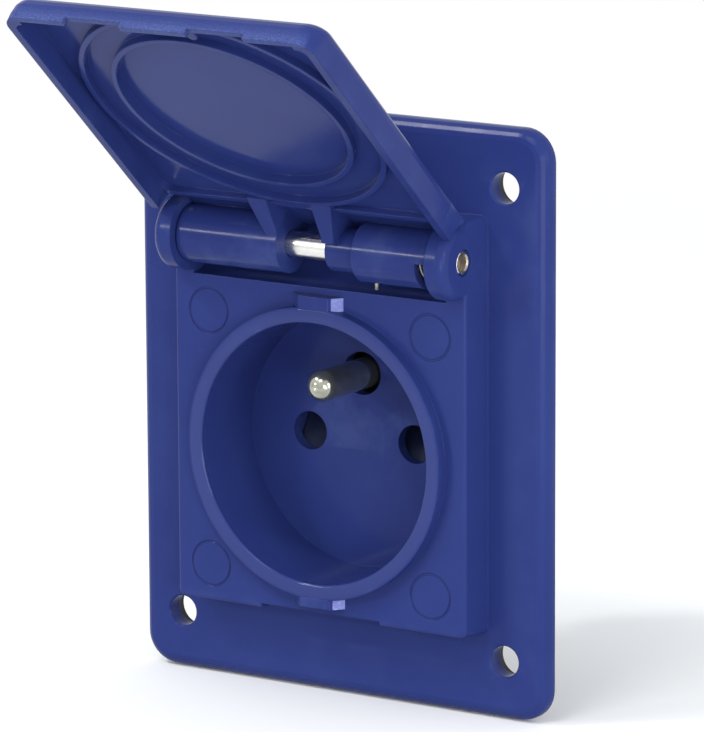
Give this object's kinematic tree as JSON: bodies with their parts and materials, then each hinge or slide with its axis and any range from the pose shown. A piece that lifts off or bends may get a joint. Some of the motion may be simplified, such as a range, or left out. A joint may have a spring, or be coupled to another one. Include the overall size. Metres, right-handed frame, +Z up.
{
  "type": "panel socket outlet",
  "caption": "Square-flanged blue panel socket outlet with a round collared recess, a projecting earth pin, shuttered pin entries and a hinged spring lid standing open.",
  "frame": {"origin": "centre of the four mounting holes, in the plane of the panel that the flange's gasket bears on", "axes": "+X to the right seen from the front, +Y back through the panel, +Z up"},
  "size_m": [0.073, 0.0868, 0.1107],
  "materials": {
    "blue_plastic": "satin",
    "lid_plastic": "satin",
    "cup_plastic": "satin",
    "shutter_plastic": "matte",
    "carrier_plastic": "matte",
    "seal_rubber": "matte",
    "nickel_steel": "polished",
    "nickel_brass": "polished",
    "spring_steel": "satin",
    "screw_steel": "satin",
    "contact_brass": "satin"
  },
  "bodies": {
    "socket": {"housing": "blue_plastic", "flange_gasket": "seal_rubber", "hinge_pin": "nickel_steel", "socket_cup": "cup_plastic", "cup_seal": "seal_rubber", "shutter_spring": "spring_steel", "contact_carrier": "carrier_plastic", "carrier_screws": "screw_steel", "live_contact": "contact_brass", "neutral_contact": "contact_brass", "contact_rings": "spring_steel", "earth_pin": "nickel_brass", "live_screw": "screw_steel", "neutral_screw": "screw_steel", "earth_screw": "screw_steel", "rear_cover": "carrier_plastic", "cover_screws": "screw_steel"},
    "lid": {"lid": "lid_plastic", "lid_spring": "spring_steel"},
    "shutter": {"shutter": "shutter_plastic"}
  },
  "joints": [
    {"name": "lid_hinge", "type": "hinge", "parent": "socket", "child": "lid", "pos_m": [0, -0.01085, 0.0255], "axis": [-1, 0, 0], "range_deg": [-132, 10]},
    {"name": "shutter_slide", "type": "slide", "parent": "socket", "child": "shutter", "axis": [0, 0, -1], "range_m": [0, 0.0066], "stiffness_N_per_m": 60, "springref_m": -0.003, "deforming": ["shutter_spring"]}
  ]
}
